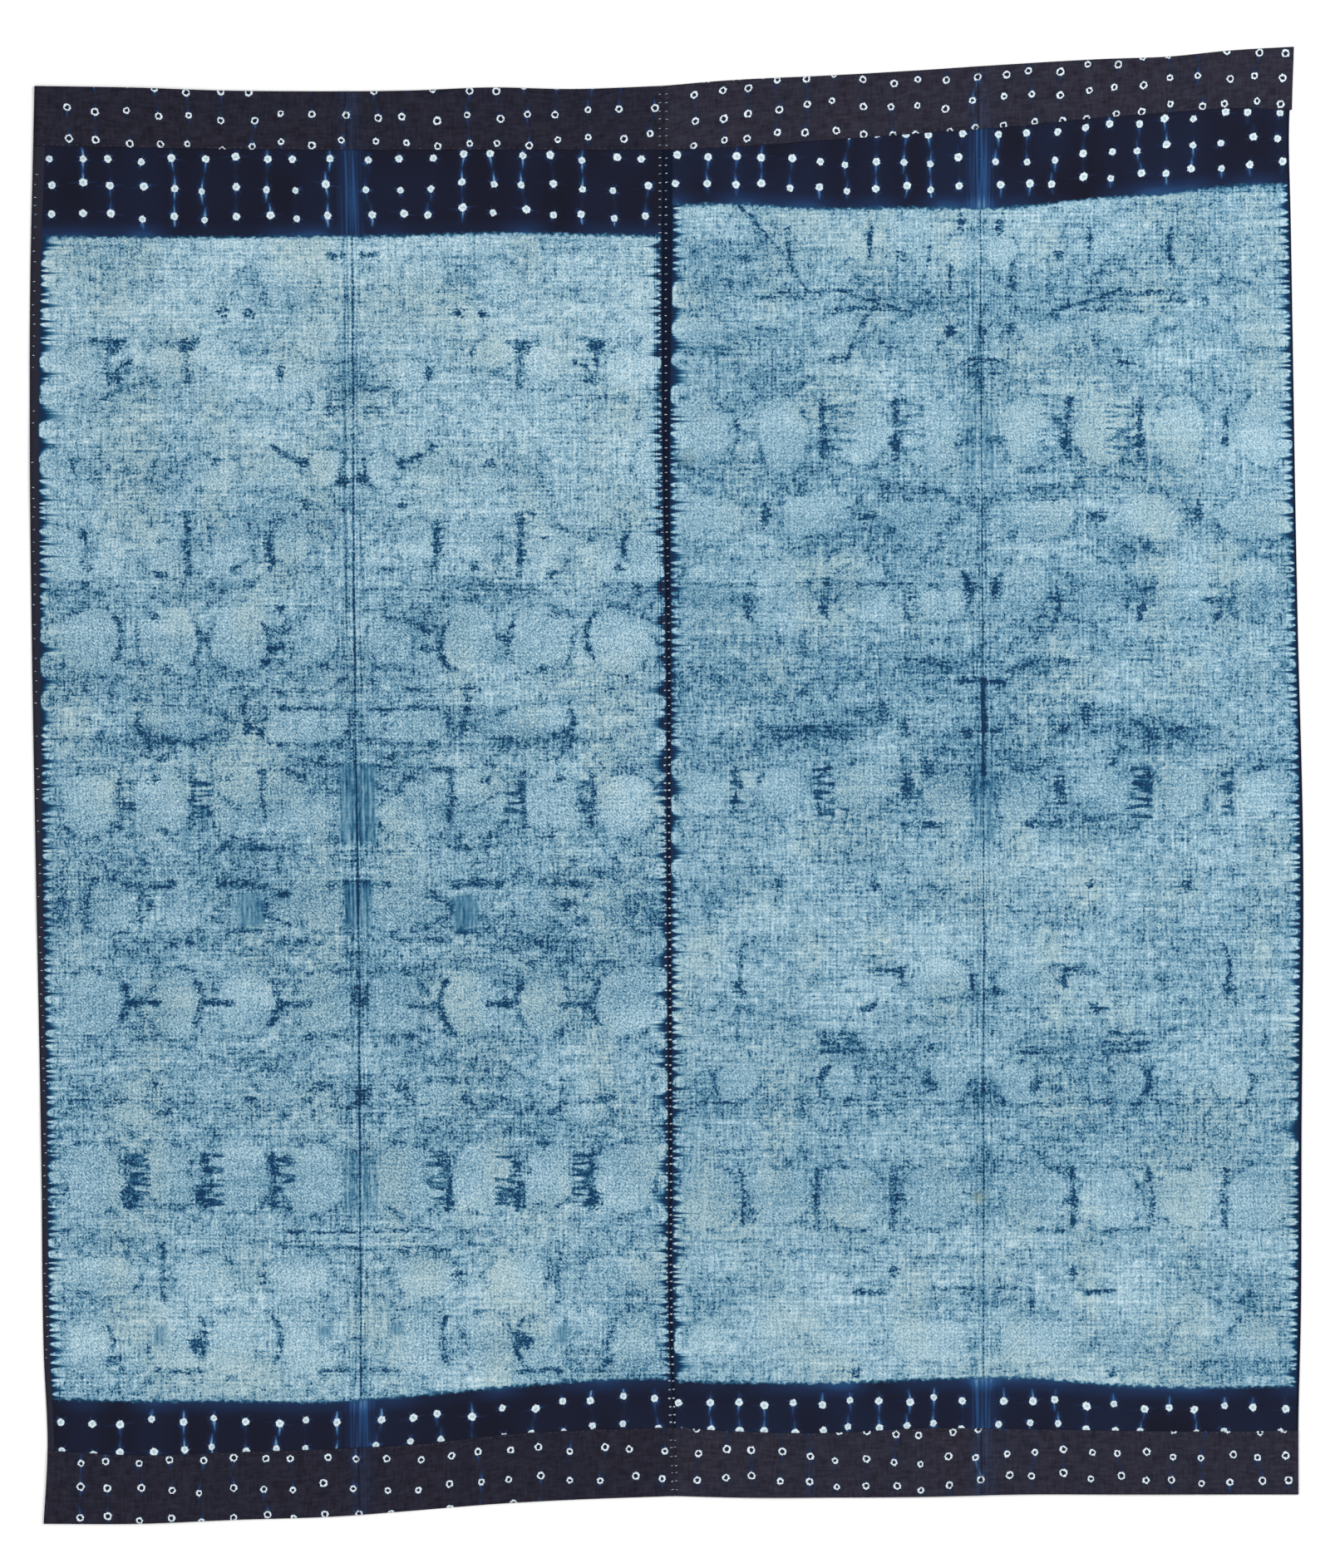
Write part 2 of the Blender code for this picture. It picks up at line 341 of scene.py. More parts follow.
# Creases pressed into the cloth, from one end to the other in millimetres, as low ridges
Crease = namedtuple("Crease", "x0 y0 x1 y1 height width")
CREASES = rows_of(
    Crease,
    (-20, 905, -17, 690, 0.8, 6), (-420, 900, -414, 180, 0.6, 6), (-820, 262, 10, 257, 0.5, 6),
    (10, 257, 820, 262, 0.4, 6), (-820, -410, 10, -414, 0.5, 6), (10, -414, 820, -412, 0.5, 6),
    (35, 810, 128, 720, 0.6, 6), (128, 720, 185, 643, 0.5, 6), (120, 905, 245, 860, 0.5, 7),
    (245, 860, 330, 820, 0.4, 7), (-700, 890, -640, 800, 0.5, 7), (-150, -850, -60, -915, 0.5, 7),
    (395, -842, 402, -925, 0.6, 6), (402, 860, 398, 930, 0.6, 6),
)

# Long lines seeped along each centre fold, in millimetres
Seep = namedtuple("Seep", "y0 y1 width strength")
LEFT_SEEPS = rows_of(
    Seep,
    (800, -800, 1.2, 1.0), (-100, -160, 3.0, 0.8), (-230, -420, 2.2, 0.8),
)
RIGHT_SEEPS = rows_of(
    Seep,
    (770, -790, 1.1, 0.8), (142, 62, 4.4, 1.0), (50, 4, 3.0, 0.9), (620, 570, 2.6, 0.8),
    (-396, -406, 5.0, 0.9),
)

# Faint ochre stains: distance from the fold, height and size, in millimetres
Stain = namedtuple("Stain", "x y width height strength")
RIGHT_STAINS = rows_of(
    Stain,
    (-155, -518, 13, 8, 0.4), (-6, -535, 18, 14, 0.6), (-380, 424, 22, 24, 0.22),
)


# Colours as seen on a screen, 0 to 255. The field's go from undyed to the deepest dye, and a dark end's
# from the deepest to the palest, each with its place on the way.
INDIGO = (
    (0.00, (206, 224, 230)),
    (0.16, (172, 202, 215)),
    (0.34, (133, 169, 187)),
    (0.52, (86, 132, 158)),
    (0.68, (40, 92, 124)),
    (0.82, (21, 54, 88)),
    (1.00, (27, 29, 47)),
)
BORDER = (
    (0.00, (25, 25, 38)),
    (0.35, (30, 45, 76)),
    (0.70, (42, 80, 128)),
    (1.00, (104, 142, 172)),
)
OCHRE = (118, 134, 112)
AGED = (178, 186, 160)
SELVEDGE_BLACK = (42, 42, 54)
SEAM_BLACK = (17, 24, 42)
# The painted shade in the crease along each hem's centre fold
CREASE_SHADE = (24, 22, 32)
RESIST_WHITE = (219, 235, 242)
RESIST_RING = (222, 236, 245)
RESIST_CORE = (160, 184, 192)
FLOOR_WHITE = (255, 255, 255)
DARK_THREAD = ((96, 92, 112), (36, 34, 48))
PALE_THREAD = ((214, 226, 232), (120, 140, 166))

# How the dye took on one length: the strengths of its patches, flecks and pebbled grain, of the haze along
# its fold, and of the clouds and streaks in its dark ends, then the black of its left edge and the black
# and worn shades of its reverse
Dye = namedtuple("Dye", "patches flecks pebbles haze clouds streaks edge_black black worn")
LEFT_DYE = Dye(0.28, 0.31, 0.80, 0.12, 0.10, 0.85, SELVEDGE_BLACK, (27, 26, 36), (49, 48, 61))
RIGHT_DYE = Dye(0.21, 0.28, 0.66, 0.08, 0.14, 0.65, SEAM_BLACK, (33, 31, 40), (57, 56, 69))

# One woven length: its columns in SIDES and its own tables, where its hem's outer corner lies and how far
# askew that is, the reach of the dark teeth at both edges, and the spacing of its ties, in millimetres
Length = namedtuple(
    "Length",
    "name side slot start fold stop start_strip stop_strip ends marks strokes lone_strokes seeps stains dye"
    " outer_across hem_skew start_teeth stop_teeth tie_across tie_along seed",
)
LENGTHS = (
    Length(
        name="panel_left", side="left", slot="indigo_cotton_left",
        start="left_edge", fold="left_fold", stop="seam", start_strip="left_strip", stop_strip=None,
        ends=LEFT_ENDS, marks=LEFT_MARKS, strokes=LEFT_STROKES, lone_strokes=(), seeps=LEFT_SEEPS,
        stains=(), dye=LEFT_DYE, outer_across=0, hem_skew=2, start_teeth=39, stop_teeth=30,
        tie_across=40, tie_along=37, seed=3,
    ),
    Length(
        name="panel_right", side="right", slot="indigo_cotton_right",
        start="seam", fold="right_fold", stop="right_edge", start_strip="seam_strip",
        stop_strip="right_strip", ends=RIGHT_ENDS, marks=RIGHT_MARKS, strokes=RIGHT_STROKES,
        lone_strokes=RIGHT_LONE_STROKES, seeps=RIGHT_SEEPS, stains=RIGHT_STAINS, dye=RIGHT_DYE,
        outer_across=1, hem_skew=3, start_teeth=35, stop_teeth=30, tie_across=36.5, tie_along=34, seed=11,
    ),
)


def read_curve(stations, column, shares):
    """Read a smooth curve through one column of a table, in metres, at each of many shares."""
    places = np.array([station[0] for station in stations], float)
    values = np.array([getattr(station, column) for station in stations]) * MM
    slopes = np.gradient(values, places)
    after = np.clip(np.searchsorted(places, shares), 1, len(places) - 1)
    before = after - 1
    span = places[after] - places[before]
    t = (shares - places[before]) / span
    start = values[before] * (1 + 2 * t) * (1 - t) ** 2 + slopes[before] * span * t * (1 - t) ** 2
    stop = values[after] * (3 - 2 * t) * t**2 - slopes[after] * span * (1 - t) * t**2
    return start + stop


def crosswise_rows():
    """List the stretch and the share of it for each row of points, from one hem's edge to the other's."""
    rows = [("bottom_hem", 1 - step / HEM_ROWS) for step in range(HEM_ROWS)]
    for stretch in ("bottom_turn", "body", "top_turn", "top_hem"):
        count = {"body": BODY_ROWS, "top_hem": HEM_ROWS}.get(stretch, FOLD_ROWS)
        rows += [(stretch, step / count) for step in range(count)]
    return rows + [("top_hem", 1)]


def place_row(stretch, share, ends):
    """Give y, height, distance past the fold and hem share along one crosswise row."""
    end = stretch.split("_")[0]
    if stretch == "body":
        bottom = ends["bottom_fold"] + FOLD_RADIUS
        top = ends["top_fold"] - FOLD_RADIUS
        y = bottom + (top - bottom) * share
        return y, BODY_HEIGHT, -np.minimum(y - bottom, top - y), 0
    inward = 1 if end == "bottom" else -1
    turn = ends[f"{end}_fold"] + inward * FOLD_RADIUS
    if stretch.endswith("hem"):
        y = turn + share * (ends[f"{end}_hem_edge"] - turn)
        return y, HEM_HEIGHT, np.abs(y - turn), share
    turned = math.pi * share
    height = BODY_HEIGHT + FOLD_RADIUS * (1 + inward * math.cos(turned))
    y = turn - inward * FOLD_RADIUS * math.sin(turned)
    return y, height, np.zeros_like(y), 0


def edge_at(column, length, along):
    """Read a long edge, half the seam's gap clear of the seam."""
    x = read_curve(SIDES, column, along)
    if column != "seam":
        return x
    return x - SEAM_GAP / 2 if column == length.stop else x + SEAM_GAP / 2


def lay_out(length):
    """Place every point of one length, in arrays with a row for every column of the sheet."""
    across = np.linspace(0, 1, COLUMNS + 1)
    ends = {name: read_curve(length.ends, name, across) for name in EndStation._fields[1:]}
    placed = [place_row(stretch, share, ends) for stretch, share in crosswise_rows()]
    grid = [np.stack([np.broadcast_to(row[i], across.shape) for row in placed], 1) for i in range(4)]
    y, height, past_fold, hem_share = grid
    ends = {name: values[:, None] for name, values in ends.items()}
    along = (y - ends["bottom_fold"]) / (ends["top_fold"] - ends["bottom_fold"])
    start = edge_at(length.start, length, along)
    stop = edge_at(length.stop, length, along)
    share = across[:, None]
    nearness = np.clip(1 - np.abs(share - length.outer_across) / SKEWED_SHARE, 0, 1)
    askew = length.hem_skew * MM * hem_share * nearness * (y > 0)
    x = start + (stop - start) * share + askew
    outer_end = np.where(y > 0, ends["top_fold"], ends["bottom_fold"])
    first_tie = np.where(y > 0, ends["top_tie"], ends["bottom_tie"])
    unfolded = np.where(past_fold > 0, outer_end + np.sign(y) * past_fold, y)
    start_strip, stop_strip = (
        read_curve(SIDES, name, along) if name else np.zeros_like(y)
        for name in (length.start_strip, length.stop_strip)
    )
    return {
        "x": x,
        "y": y,
        "height": height,
        "from_fold": x - read_curve(SIDES, length.fold, along),
        "unfolded": unfolded,
        "past_fold": past_fold,
        "past_field": np.maximum(unfolded - ends["top_field"], ends["bottom_field"] - unfolded),
        "hem_row": (past_fold - first_tie) / (length.tie_along * MM),
        "start_edge": x - start - start_strip,
        "stop_edge": stop - x - stop_strip,
    }


def measure_line(line, x, y):
    """Measure each point's way along a line from its middle, and across it, and the line's length."""
    run_x, run_y = (line.x1 - line.x0) * MM, (line.y1 - line.y0) * MM
    long = math.hypot(run_x, run_y)
    away_x, away_y = x - (line.x0 * MM + run_x / 2), y - (line.y0 * MM + run_y / 2)
    along = (away_x * run_x + away_y * run_y) / long
    across = (away_x * run_y - away_y * run_x) / long
    return along, across, long


def ridge(away, height, width):
    return height * np.exp(-((away / width) ** 2))


def relief(x, y, from_fold):
    """Raise the sheet a little, as pressed cotton lies."""
    rng = np.random.default_rng(5)
    height = np.zeros_like(x)
    for wavelength in WAVES:
        angle, phase = rng.uniform(0, math.tau, 2)
        bent = 0.03 * np.sin(math.tau * (x * math.sin(angle) - y * math.cos(angle)) / 0.5)
        across = x * math.cos(angle) + y * math.sin(angle) + bent
        height += WAVE_HEIGHT * wavelength * (1 + np.sin(math.tau * across / wavelength + phase))
    for crease in CREASES:
        along, across, long = measure_line(crease, x, y)
        away = np.hypot(across, np.maximum(np.abs(along) - long / 2, 0))
        uneven = 0.7 + 0.3 * np.sin(9 * np.clip(along / long + 0.5, 0, 1) + crease.y0)
        height += ridge(away, crease.height * MM, crease.width * MM) * uneven
    seam = read_curve(SIDES, "seam", np.clip((y - SEAM_BOTTOM) / SEAM_LENGTH, 0, 1))
    return height + ridge(from_fold, *FOLD_RIDGE) + ridge(x - seam, *SEAM_RIDGE)


def clouds(x, y, wide, high, seed):
    """Smooth random patches of about this width and height, from 0 to 1."""
    cells = 256
    grid = np.random.default_rng(seed).random((cells, cells))
    column, row = x / wide + cells / 2, y / high + cells / 2
    i, j = np.floor(column).astype(int), np.floor(row).astype(int)
    u, v = (share * share * (3 - 2 * share) for share in (column - i, row - j))
    i, j = i % (cells - 1), j % (cells - 1)
    lower = grid[i, j] * (1 - u) + grid[i + 1, j] * u
    upper = grid[i, j + 1] * (1 - u) + grid[i + 1, j + 1] * u
    return lower * (1 - v) + upper * v


def rounded(x, y, wide, high, squareness=2.0):
    """Measure roughly how far inside an oval each point lies. A squarer one fills its corners more."""
    reach = np.abs(x / (wide / 2)) ** squareness + np.abs(y / (high / 2)) ** squareness
    return (1 - reach ** (1 / squareness)) * min(wide, high) / 2


def box(x, y, wide, high):
    return np.minimum(wide / 2 - np.abs(x), high / 2 - np.abs(y))


def draw_line(chart, kind, across, along, wide, long, strength, bend, bow=0):
    """Chart the distance across a dark line and its half width, where it is the nearest one."""
    place = along / (long / 2)
    away = across - bend * np.sin(2.4 * place + 400 * long) - bow * place**2
    half = wide / 2 * (0.75 + 0.35 * np.clip(place, -1, 1) ** 2) * (0.6 + 0.4 * strength)
    half = half - np.maximum(np.abs(along) - long / 2, 0)
    nearer = half - np.abs(away) > chart[f"{kind}_half"] - np.abs(chart[kind])
    half = half - 2 * np.maximum(np.abs(away) - 9 * MM, 0)
    chart[kind] = np.where(nearer, away, chart[kind])
    chart[f"{kind}_half"] = np.where(nearer, half, chart[f"{kind}_half"])
    chart["ink"] = np.where(nearer & (half > -3 * MM), strength, chart["ink"])


def deepen(chart, name, values):
    chart[name] = np.maximum(chart[name], values)


def draw_mark(chart, mark, x, y, strength, bend):
    """Add one mark, centred on the origin of x and y, with +x away from the fold."""
    wide, high = mark.width * MM, mark.height * MM
    if mark.kind in BOWS:
        bend = bend if mark.kind == "upright" else bend / 2
        draw_line(chart, "upright", x, y, wide, high, strength, bend, BOWS[mark.kind])
    elif mark.kind == "level":
        draw_line(chart, "level", y, x, high, wide, strength, bend / 2)
    elif mark.kind in ("lobe", "block"):
        inside = rounded(x, y, wide, high, 2.5 if mark.kind == "lobe" else 8)
        deepen(chart, "pale", inside - (1 - strength) * 3 * MM)
        deepen(chart, "lift", strength * np.clip(inside / (4 * MM) + 1, 0, 1))
    elif mark.kind == "blot":
        deepen(chart, "blot", rounded(x, y, wide, high) - (1 - strength) * 4 * MM)
    elif mark.kind == "band":
        deepen(chart, "dusk", strength * np.clip(box(x, y, wide, high) / (5 * MM) + 0.6, 0, 1))
    elif mark.kind == "dusk":
        inside = np.clip(rounded(x, y, wide, high) / (0.4 * min(wide, high)), 0, 1)
        deepen(chart, "haze", strength * inside)
    elif mark.kind == "ticks":
        deepen(chart, "ticks", strength * np.clip(box(x, y, wide, high) / (6 * MM) + 0.7, 0, 1))


def chart_side(length, side, across, y, rng):
    """Chart the marks on one side of the fold."""
    none = np.zeros_like(y)
    chart = {name: none for name in ("lift", "ink", "dusk", "haze", "ticks")}
    chart.update({name: none - 0.03 for name in ("pale", "blot")})
    for line in ("upright", "level", "slant"):
        chart[line] = none + 1
        chart[f"{line}_half"] = none - 0.05
    for mark in [Mark(kind, *row) for kind, rows in length.marks.items() for row in rows]:
        for place in np.atleast_1d(mark.places):
            x_there = across - (place + rng.uniform(-2, 2)) * MM
            y_there = y - (mark.y + rng.uniform(-2, 2)) * MM
            strength = mark.strength * rng.uniform(0.85, 1)
            draw_mark(chart, mark, x_there, y_there, strength, rng.uniform(-2.5, 2.5) * MM)
    for stroke in length.strokes + (length.lone_strokes if side < 0 else ()):
        way_along, way_across, long = measure_line(stroke, across, y)
        draw_line(chart, "slant", way_across, way_along, stroke.width * MM, long, stroke.strength, 1.5 * MM)
    return chart


def chart_dye(length, from_fold, y):
    """Chart the pattern at every point, mirrored about the fold but for unevenness."""
    rng = np.random.default_rng(length.seed)
    sides = [chart_side(length, side, side * from_fold, y, rng) for side in (-1, 1)]
    chart = {name: np.where(from_fold > 0, sides[1][name], sides[0][name]) for name in sides[0]}
    mirrored = np.abs(from_fold)
    chart["pale"] = chart["pale"] + (clouds(mirrored, y, 0.024, 0.020, 21) - 0.5) * 14 * MM
    tone = np.interp(y, [tone.y * MM for tone in TONES], [getattr(tone, length.side) for tone in TONES])
    wide = clouds(from_fold, y, 0.15, 0.045, 3) + clouds(from_fold, y, 0.06, 0.03, 4) - 1
    near_fold = clouds(mirrored, y, 0.07, 0.028, 6) - 0.5
    chart["tone"] = tone + 0.10 * wide + 0.12 * near_fold + 0.12 * chart.pop("haze")
    seeped = np.full_like(y, -1 * MM)
    for seep in length.seeps:
        ends = np.clip(np.minimum(seep.y0 * MM - y, y - seep.y1 * MM) / (20 * MM), -1, 1)
        width = seep.width * MM * (0.8 + 0.4 * clouds(y * 0, y, 1, 0.03, 8))
        seeped = np.maximum(seeped, seep.strength * width * np.minimum(ends * 3, 1))
    chart["seep_half"] = seeped / 2
    chart["scallop"] = clouds(np.sign(from_fold) * 9, y, 1, 0.09, 11 + length.seed)
    chart["cloudy"] = clouds(from_fold, y, 0.045, 0.07, 17 + length.seed)
    chart["stain"] = np.zeros_like(y)
    for stain in length.stains:
        inside = rounded(from_fold - stain.x * MM, y - stain.y * MM, stain.width * MM, stain.height * MM)
        deepen(chart, "stain", stain.strength * np.clip(inside / (4 * MM) + 0.6, 0, 1))
    return chart


def corner_least(values):
    """Give the least of a measure at the four corners of each face."""
    lower = np.minimum(values[:-1, :-1], values[1:, :-1])
    upper = np.minimum(values[:-1, 1:], values[1:, 1:])
    return np.minimum(lower, upper)


def sheet_mesh(length, points):
    """Join the points into an open sheet that carries the pattern's measures."""
    columns, rows = points["x"].shape
    mesh = bpy.data.meshes.new(f"{length.name}_cloth")
    height = points["height"] + relief(points["x"], points["y"], points["from_fold"])
    corners = np.stack([points["x"], points["y"], height], -1).reshape(-1, 3)
    index = np.arange(columns * rows).reshape(columns, rows)
    faces = np.stack([index[:-1, :-1], index[1:, :-1], index[1:, 1:], index[:-1, 1:]], -1)
    mesh.from_pydata(corners.tolist(), [], faces.reshape(-1, 4).tolist())
    past_field = corner_least(points["past_field"])
    mesh.polygons.foreach_set("material_index", (past_field > END_START).astype(np.int32).ravel())
    measures = chart_dye(length, points["from_fold"], points["unfolded"])
    for name in ("past_fold", "past_field", "hem_row", "start_edge", "stop_edge"):
        measures[name] = points[name]
    for name, values in measures.items():
        carried = mesh.attributes.new(name, "FLOAT", "POINT")
        carried.data.foreach_set("value", values.astype(np.float32).ravel())
    place = np.stack([points["from_fold"], points["unfolded"], np.zeros_like(points["x"])], -1)
    carried = mesh.attributes.new("place", "FLOAT_VECTOR", "POINT")
    carried.data.foreach_set("vector", place.astype(np.float32).ravel())
    mesh.shade_smooth()
    return mesh


class Tree:
    """A material's nodes."""

    def __init__(self, name):
        self.material = bpy.data.materials.new(name)
        self.material.use_nodes = True
        self.nodes = self.material.node_tree.nodes

    def join(self, value, socket):
        """Give an input a plain value or a signal."""
        if isinstance(value, Signal):
            self.material.node_tree.links.new(value.socket, socket)
        else:
            socket.default_value = value

    def node(self, kind, inputs=(), output=0, **settings):
        """Add a node, feed its inputs, in their order or by name, and read an output."""
        node = self.nodes.new(f"ShaderNode{kind}")
        for name, setting in settings.items():
            setattr(node, name, setting)
        named = inputs.items() if isinstance(inputs, dict) else enumerate(inputs)
        for name, value in named:
            self.join(value, node.inputs[name])
        return Signal(self, node.outputs[output])

    def measure(self, name, output="Fac"):
        """Read a measure that the sheet's points carry."""
        return self.node("Attribute", (), output, attribute_name=name)

    def finish(self, colour, roughness, gloss, bumps=None):
        """Give the shader its looks."""
        inputs = self.nodes["Principled BSDF"].inputs
        self.join(linear(colour), inputs["Base Color"])
        self.join(roughness, inputs["Roughness"])
        self.join(gloss, inputs["Specular IOR Level"])
        if bumps:
            self.join(bumps, inputs["Normal"])
        return self.material


class Signal:
    """A node's output that can be added to, multiplied and so on like a number."""

    def __init__(self, tree, socket):
        self.tree = tree
        self.socket = socket

    def other(self, output):
        """Give another output of the same node."""
        return Signal(self.tree, self.socket.node.outputs[output])

    def __add__(self, other):
        return calculate("ADD", self, other)

    def __sub__(self, other):
        return calculate("SUBTRACT", self, other)

    def __rsub__(self, other):
        return calculate("SUBTRACT", other, self)

    def __mul__(self, other):
        return calculate("MULTIPLY", self, other)

    def __truediv__(self, other):
        return calculate("DIVIDE", self, other)

    def __abs__(self):
        return calculate("ABSOLUTE", self)

    __radd__ = __add__
    __rmul__ = __mul__


def calculate(operation, *values):
    """Work out one operation on numbers and signals, of which one at least is a signal."""
    tree = next(value.tree for value in values if isinstance(value, Signal))
    return tree.node("Math", values, operation=operation)


def most(*values):
    return reduce(lambda first, second: calculate("MAXIMUM", first, second), values)


def least(first, second):
    return calculate("MINIMUM", first, second)


def rise(value, low, high):
    """Climb smoothly from 0 at low to 1 at high."""
    return value.tree.node("MapRange", (value, low, high), interpolation_type="SMOOTHSTEP")


def fall(value, low, high):
    """Drop smoothly from 1 at low to 0 at high."""
    return 1 - rise(value, low, high)


def zigzag(value):
    """Fall from 1 at each whole number to 0 halfway, and rise again."""
    return abs(calculate("FRACT", value) - 0.5) * 2


def blend(share, first, second):
    """Mix two numbers by a share."""
    return first + (second - first) * share


def linear(colour):
    """Turn a screen colour into linear light, and leave a signal as it is."""
    if isinstance(colour, Signal):
        return colour
    shares = [value / 255 for value in colour]
    return (*(s / 12.92 if s < 0.04045 else ((s + 0.055) / 1.055) ** 2.4 for s in shares), 1.0)


def tint(share, first, second):
    """Mix two colours by a share."""
    return share.tree.node("Mix", {0: share, 6: linear(first), 7: linear(second)}, 2, data_type="RGBA")


def ramp(value, stops):
    """Colour a value by a list of places and colours."""
    ramped = value.tree.node("ValToRGB", (value,))
    points = ramped.socket.node.color_ramp.elements
    while len(points) < len(stops):
        points.new(0.5)
    for point, (place, colour) in zip(points, stops):
        point.position = place
        point.color = linear(colour)
    return ramped


def vector(x, y, z=0.0):
    return x.tree.node("CombineXYZ", (x, y, z))


def split(signal):
    x = signal.tree.node("SeparateXYZ", (signal,))
    return x, x.other("Y"), x.other("Z")


# How far apart two seeds read the same noise
SEED_STEP = 7.3


def noise(place, wide, high, seed, detail=1.0):
    """Noise over a place, its patches stretched to about this width and height."""
    stretch, shift = (1 / wide, 1 / high, 0), (SEED_STEP * seed, 0, 0)
    scaled = place.tree.node("VectorMath", (place, stretch, shift), operation="MULTIPLY_ADD")
    inputs = {"Vector": scaled, "Scale": 1.0, "Detail": detail}
    return place.tree.node("TexNoise", inputs, noise_dimensions="2D")


def wander(value, seed):
    """Noise along one measure."""
    inputs = {"W": value + SEED_STEP * seed, "Scale": 1.0, "Detail": 1.0}
    return value.tree.node("TexNoise", inputs, noise_dimensions="1D")


def lattice(x, y, looseness):
    """Find the nearest point of a loose square lattice: the way to it, and three random numbers."""
    inputs = {"Vector": vector(x, y), "Scale": 1.0, "Randomness": looseness}
    nearest = x.tree.node("TexVoronoi", inputs, "Position", voronoi_dimensions="2D")
    at_x, at_y, _ = split(nearest)
    return x - at_x, y - at_y, split(nearest.other("Color"))


def pebbled(x, y, fine, coarse, seed, detail):
    """Noise in small slanting grains."""
    return noise(vector(x + y, x - y), fine, coarse, seed, detail)


def bump(height, strength, distance):
    return height.tree.node("Bump", {"Strength": strength, "Distance": distance, "Height": height})


# The yarns' unevenness, as noise in several shapes, each 0.5 on average but for ragged and pebbles, which
# are 0
Grain = namedtuple("Grain", "upright level slubs ends clumps specks ragged pebbles")


def cotton_grain(place, x, y, seed):
    return Grain(
        upright=noise(place, 0.0034, 0.015, seed, 1.0),
        level=noise(place, 0.015, 0.0036, seed + 3, 2.0),
        slubs=noise(place, 0.14, 0.0030, seed + 5, 0.0),
        ends=noise(place, 0.0030, 0.12, seed + 6, 0.0),
        clumps=noise(place, 0.018, 0.013, seed + 7, 2.0),
        specks=noise(place, 0.0036, 0.0031, seed + 8, 1.0),
        ragged=noise(place, 0.0062, 0.0050, seed + 9, 1.5) - 0.5,
        pebbles=pebbled(x, y, 0.0026, 0.0042, seed + 13, 1.0) - 0.5,
    )


# In the dye's functions below, the small numbers are metres of cloth. The others are shares of dye, or
# steps in a noise between 0 and 1. They were set together, against the look of the whole cloth.
def field_density(measure, place, grain, length):
    """The mottled ground, its flecks, and the stitched marks on it."""
    upright, level, slubs, ends, clumps, specks, ragged, pebbles = grain
    dots = rise(specks, 0.42, 0.60)

    lobe = measure("pale") + ragged * 0.012
    lift = measure("lift")
    inside = rise(lobe, -0.0008, 0.0018) * lift
    around = fall(abs(lobe + 0.0055), 0.003, 0.012) * lift
    rim = fall(abs(lobe + 0.0006), 0.0004, 0.0026) * rise(clumps, 0.38, 0.58) * lift
    weave = (upright - 0.5) * 0.32 + (level - 0.5) * 0.34 + (slubs - 0.5) * 0.22 + (ends - 0.5) * 0.18
    crossing = (upright - 0.5) * 0.7 + (level - 0.5) * 0.6 + (clumps - 0.5) * 1.1 + (specks - 0.5) * 2.2
    tone = measure("tone")
    flecks = rise(crossing + tone * 1.6 + around * 0.16, 0.16, 0.74) * (1 - inside * 0.8)

    wobble = ragged * 0.009
    ink = measure("ink")
    stems = measure("upright_half") - abs(measure("upright") + wobble)
    bars = measure("level_half") - abs(measure("level") + wobble * 0.6)
    slants = measure("slant_half") - abs(measure("slant") + wobble * 0.5)
    lines = most(stems, bars, slants)
    soft = rise(lines, -0.008, 0.002) * ink
    knots = 0.10 + dots * 0.56 + rise(clumps, 0.40, 0.60) * 0.46
    lines = rise(lines + (level + specks - 1) * 0.006, -0.0024, 0.0016) * ink * knots
    blots = rise(measure("blot") + ragged * 0.010 + (level + specks - 1) * 0.008, -0.003, 0.003)
    teeth = rise(noise(place, 0.035, 0.0062, length.seed + 17, 0.0), 0.46, 0.62)
    ticks = teeth * rise(measure("ticks") + ragged * 0.6, 0.30, 0.80)
    dark = most(lines, blots * (0.54 + dots * 0.46), ticks * 0.74)

    ground = 0.372 + tone
    patch = ground - inside * 0.055 + around * 0.06 + (clumps - 0.5) * (length.dye.patches - inside * 0.18)
    streaky = weave * (1 - inside * 0.5) + flecks * length.dye.flecks + rim * 0.12
    streaky = streaky + pebbles * (length.dye.pebbles + inside * 0.20)
    mottled = patch + streaky + soft * 0.07 + dark * (0.87 - ground) * (0.80 + level * 0.4)
    mottled = calculate("SMOOTH_MIN", mottled, 0.82, 0.10)
    flat = 0.55 + (upright - 0.5) * 0.34 + (ends - 0.5) * 0.3
    return blend(measure("dusk"), mottled, flat)


def fold_density(measure, x, y, ends, length):
    """The dye that seeped along the centre fold: a beaded line in a streaky haze."""
    seed = length.seed
    away = abs(x + (wander(y / 0.05, seed + 21) - 0.5) * 0.0016)
    beat = zigzag(y / FOLD_BEAD + wander(y / 0.03, seed + 23) * 2)
    beads = rise(beat, 0.25, 0.75) * rise(wander(y / 0.016, seed + 25), 0.32, 0.55) * 0.85 + 0.15
    half = measure("seep_half")
    beads = most(beads, rise(half, 0.0010, 0.0018))
    line = fall(away, half * 0.6, half * 1.5 + 0.0007) * beads
    line = line * (1 - rise(half, 0.0014, 0.0024) * 0.35) + fall(away, half, half * 4) * 0.35
    haze = fall(abs(x + 0.003), 0.006, 0.024) * rise(ends, 0.28, 0.75)
    seeped = line * 0.42 + haze * length.dye.haze
    if length.side == "right":
        return seeped
    second = fall(abs(x + 0.0105), 0.0006, 0.0022) * rise(y, 0.15, 0.30)
    return seeped + second * 0.18


